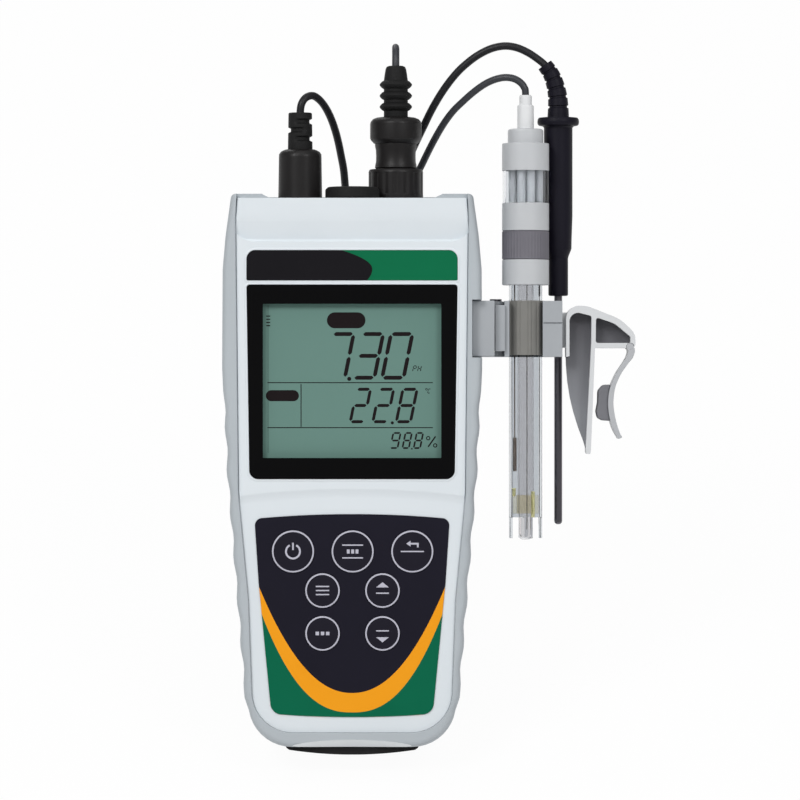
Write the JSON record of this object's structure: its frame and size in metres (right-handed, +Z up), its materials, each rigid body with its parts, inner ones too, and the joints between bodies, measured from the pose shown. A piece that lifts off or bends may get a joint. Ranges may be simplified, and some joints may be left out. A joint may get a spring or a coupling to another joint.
{
  "type": "handheld ph meter with probes",
  "caption": "Hand-held pH meter in a rubber boot, leaning on its flip stand, with a side holder carrying a glass-bulb electrode and a temperature probe.",
  "frame": {"origin": "middle of the foot's sole, on the surface the meter stands on", "axes": "+Z up, -Y towards the face of the meter, +X to the right seen from the front; the meter leans back 25 degrees about X"},
  "size_m": [0.1429, 0.1613, 0.2244],
  "materials": {
    "white_shell": "moulded ABS, fine texture",
    "grey_boot": "soft-touch thermoplastic rubber",
    "black_rubber": "moulded rubber",
    "black_plastic": "moulded nylon",
    "grey_plastic": "moulded ABS",
    "pale_grey_plastic": "moulded acetal",
    "dark_grey_rubber": "soft rubber",
    "label_film": "printed polyester film",
    "keypad_film": "printed polyester film",
    "key_plastic": "printed key cap",
    "lens_glass": "printed acrylic window",
    "lcd_glass": "reflective liquid crystal cell",
    "board": "solder mask",
    "battery": "sleeved steel can",
    "spring_steel": "nickel plated",
    "clear_plastic": "clear polycarbonate",
    "bulb_glass": "blown sensing glass",
    "white_plastic": "moulded ABS",
    "brown_element": "silver chloride coated wire",
    "steel": "ground stainless steel",
    "cable": "PVC jacket"
  },
  "bodies": {
    "meter": {"front_shell": "white_shell", "rear_shell": "white_shell", "shell_gasket": "dark_grey_rubber", "connector_panel": "white_shell", "boot": "grey_boot", "foot": "black_rubber", "label": "label_film", "lcd_lens": "lens_glass", "lcd_cell": "lcd_glass", "lcd_frame": "white_plastic", "keypad_overlay": "keypad_film", "dome_sheet": "pale_grey_plastic", "main_board": "board", "battery_tray": "black_plastic", "batteries": "battery", "battery_contacts": "spring_steel", "battery_door": "white_shell", "shell_screws": "spring_steel", "input_socket": "spring_steel", "temperature_socket": "black_plastic", "data_socket": "black_plastic", "stand_bracket": "black_plastic", "stand_pin": "steel", "holder_bracket": "grey_plastic", "hinge_pin": "steel", "temperature_plug": "black_plastic", "temperature_plug_relief": "black_rubber", "signal_plug": "black_plastic", "signal_backshell": "black_plastic", "signal_relief": "black_rubber", "electrode_lead": "cable", "electrode_coil": "cable", "temperature_lead": "cable", "temperature_coil": "cable"},
    "power_key": {"power_key": "key_plastic"},
    "calibrate_key": {"calibrate_key": "key_plastic"},
    "enter_key": {"enter_key": "key_plastic"},
    "setup_key": {"setup_key": "key_plastic"},
    "up_key": {"up_key": "key_plastic"},
    "mode_key": {"mode_key": "key_plastic"},
    "down_key": {"down_key": "key_plastic"},
    "stand": {"stand": "black_plastic"},
    "collar": {"signal_collar": "black_plastic"},
    "cap": {"dust_cap": "black_rubber"},
    "holder": {"holder_frame": "grey_plastic", "electrode_grip": "dark_grey_rubber", "beaker_clip": "pale_grey_plastic"},
    "arm": {"clip_arm": "pale_grey_plastic", "clip_pad": "dark_grey_rubber"},
    "electrode": {"electrode_neck": "white_plastic", "electrode_cap": "white_plastic", "electrode_window": "clear_plastic", "electrode_head": "white_plastic", "electrode_tube": "clear_plastic", "electrode_core": "bulb_glass", "reference_element": "brown_element"},
    "ring": {"refill_ring": "grey_plastic"},
    "probe": {"probe_handle": "black_plastic", "probe_relief": "black_rubber", "probe_rod": "steel"}
  },
  "joints": [
    {"name": "power_key_press", "type": "slide", "parent": "meter", "child": "power_key", "axis": [0, 0.9063, -0.4226], "range_m": [0, 0.0005], "stiffness_N_per_m": 800, "springref_m": -0.0004},
    {"name": "calibrate_key_press", "type": "slide", "parent": "meter", "child": "calibrate_key", "axis": [0, 0.9063, -0.4226], "range_m": [0, 0.0005], "stiffness_N_per_m": 800, "springref_m": -0.0004},
    {"name": "enter_key_press", "type": "slide", "parent": "meter", "child": "enter_key", "axis": [0, 0.9063, -0.4226], "range_m": [0, 0.0005], "stiffness_N_per_m": 800, "springref_m": -0.0004},
    {"name": "setup_key_press", "type": "slide", "parent": "meter", "child": "setup_key", "axis": [0, 0.9063, -0.4226], "range_m": [0, 0.0005], "stiffness_N_per_m": 800, "springref_m": -0.0004},
    {"name": "up_key_press", "type": "slide", "parent": "meter", "child": "up_key", "axis": [0, 0.9063, -0.4226], "range_m": [0, 0.0005], "stiffness_N_per_m": 800, "springref_m": -0.0004},
    {"name": "mode_key_press", "type": "slide", "parent": "meter", "child": "mode_key", "axis": [0, 0.9063, -0.4226], "range_m": [0, 0.0005], "stiffness_N_per_m": 800, "springref_m": -0.0004},
    {"name": "down_key_press", "type": "slide", "parent": "meter", "child": "down_key", "axis": [0, 0.9063, -0.4226], "range_m": [0, 0.0005], "stiffness_N_per_m": 800, "springref_m": -0.0004},
    {"name": "stand_fold", "type": "hinge", "parent": "meter", "child": "stand", "pos_m": [0, 0.05271, 0.09032], "axis": [1, 0, 0], "range_deg": [-45, 0]},
    {"name": "holder_swing", "type": "hinge", "parent": "meter", "child": "holder", "pos_m": [0.05, 0.0552, 0.13495], "axis": [0, 0.4226, 0.9063], "range_deg": [0, 60], "deforming": ["electrode_lead", "temperature_lead"]},
    {"name": "electrode_slide", "type": "slide", "parent": "holder", "child": "electrode", "axis": [0, 0.4226, 0.9063], "range_m": [-0.005, 0.002]},
    {"name": "probe_slide", "type": "slide", "parent": "holder", "child": "probe", "axis": [0, 0.4226, 0.9063], "range_m": [-0.0015, 0.002]},
    {"name": "refill_ring_turn", "type": "hinge", "parent": "electrode", "child": "ring", "pos_m": [0.0603, 0.06272, 0.16289], "axis": [0, 0.4226, 0.9063], "range_deg": [0, 90]},
    {"name": "clip_arm_flex", "type": "hinge", "parent": "holder", "child": "arm", "pos_m": [0.096, 0.04805, 0.13144], "axis": [0, -0.9063, 0.4226], "range_deg": [0, 8], "stiffness_Nm_per_rad": 0.4, "springref_deg": -1.72},
    {"name": "collar_turn", "type": "hinge", "parent": "meter", "child": "collar", "pos_m": [0.0151, 0.07655, 0.18072], "axis": [0, 0.4226, 0.9063], "range_deg": [0, 90]},
    {"name": "cap_pull", "type": "slide", "parent": "meter", "child": "cap", "axis": [0, 0.4226, 0.9063], "range_m": [0, 0.012]}
  ]
}
